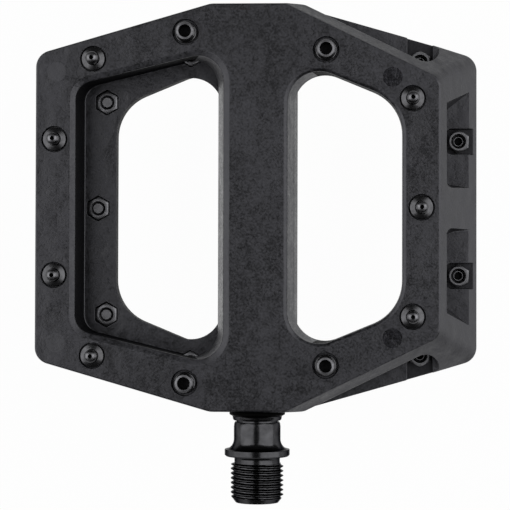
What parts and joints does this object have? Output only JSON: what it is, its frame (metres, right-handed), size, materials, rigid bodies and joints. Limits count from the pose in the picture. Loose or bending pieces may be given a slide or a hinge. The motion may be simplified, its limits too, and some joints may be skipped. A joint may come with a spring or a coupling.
{
  "type": "flat pedal",
  "caption": "Wide flat bicycle pedal: moulded nylon platform with two windows and traction pins on both faces, spinning on a steel spindle with a crank thread.",
  "frame": {"origin": "on the spindle axis, at the middle of the pedal's overall length", "axes": "+Y along the spindle away from the crank, +Z out of one platform face, +X towards the rear of the bicycle when that face is up"},
  "size_m": [0.119, 0.1342, 0.025],
  "materials": {
    "nylon": "black glass-filled nylon, fine moulded texture with faint flow marks",
    "cap_nylon": "black moulded nylon plug",
    "fastener_steel": "black-oxide steel",
    "spindle_steel": "glossy black chromoly steel",
    "bearing_steel": "ground bearing steel",
    "seal_rubber": "matt black seal rubber",
    "bush_bronze": "bronze-backed plain bush"
  },
  "bodies": {
    "spindle": {"spindle": "spindle_steel", "bearing_inner_race": "bearing_steel", "thrust_washer": "bearing_steel", "lock_nut": "bearing_steel"},
    "platform": {"platform_body": "nylon", "inboard_seal": "seal_rubber", "inboard_bush": "bush_bronze", "bearing_outer_race": "bearing_steel", "bearing_shield_inner": "bearing_steel", "bearing_shield_outer": "bearing_steel", "end_cap": "cap_nylon", "pin_top_bar_mid": "fastener_steel", "pin_top_corner_out": "fastener_steel", "pin_top_corner_in": "fastener_steel", "pin_top_edge_out": "fastener_steel", "pin_top_edge_in": "fastener_steel", "pin_top_bar_out": "fastener_steel", "pin_top_bar_in": "fastener_steel", "pin_top_blind_out": "fastener_steel", "pin_top_blind_in": "fastener_steel", "pin_top_centre_out": "fastener_steel", "pin_top_centre_in": "fastener_steel", "pin_bottom_bar_mid": "fastener_steel", "pin_bottom_corner_out": "fastener_steel", "pin_bottom_corner_in": "fastener_steel", "pin_bottom_edge_out": "fastener_steel", "pin_bottom_edge_in": "fastener_steel", "pin_bottom_bar_out": "fastener_steel", "pin_bottom_bar_in": "fastener_steel", "pin_bottom_blind_out": "fastener_steel", "pin_bottom_blind_in": "fastener_steel", "pin_bottom_centre_out": "fastener_steel", "pin_bottom_centre_in": "fastener_steel", "nut_top_corner_out": "fastener_steel", "nut_top_corner_in": "fastener_steel", "nut_top_edge_out": "fastener_steel", "nut_top_edge_in": "fastener_steel", "nut_top_bar_mid": "fastener_steel", "nut_top_bar_out": "fastener_steel", "nut_top_bar_in": "fastener_steel", "nut_top_centre_out": "fastener_steel", "nut_top_centre_in": "fastener_steel", "nut_bottom_corner_out": "fastener_steel", "nut_bottom_corner_in": "fastener_steel", "nut_bottom_edge_out": "fastener_steel", "nut_bottom_edge_in": "fastener_steel", "nut_bottom_bar_mid": "fastener_steel", "nut_bottom_bar_out": "fastener_steel", "nut_bottom_bar_in": "fastener_steel", "nut_bottom_centre_out": "fastener_steel", "nut_bottom_centre_in": "fastener_steel"},
    "ball_cage": {"ball_cage": "bearing_steel"}
  },
  "joints": [
    {"name": "platform_spin", "type": "hinge", "parent": "spindle", "child": "platform", "pos_m": [0, 0, 0], "axis": [0, 1, 0], "continuous": true},
    {"name": "ball_cage_spin", "type": "hinge", "parent": "spindle", "child": "ball_cage", "pos_m": [0, 0.05292, 0], "axis": [0, 1, 0], "continuous": true}
  ],
  "couplings": [
    {"joint": "ball_cage_spin", "follows": "platform_spin", "ratio": 0.605}
  ]
}
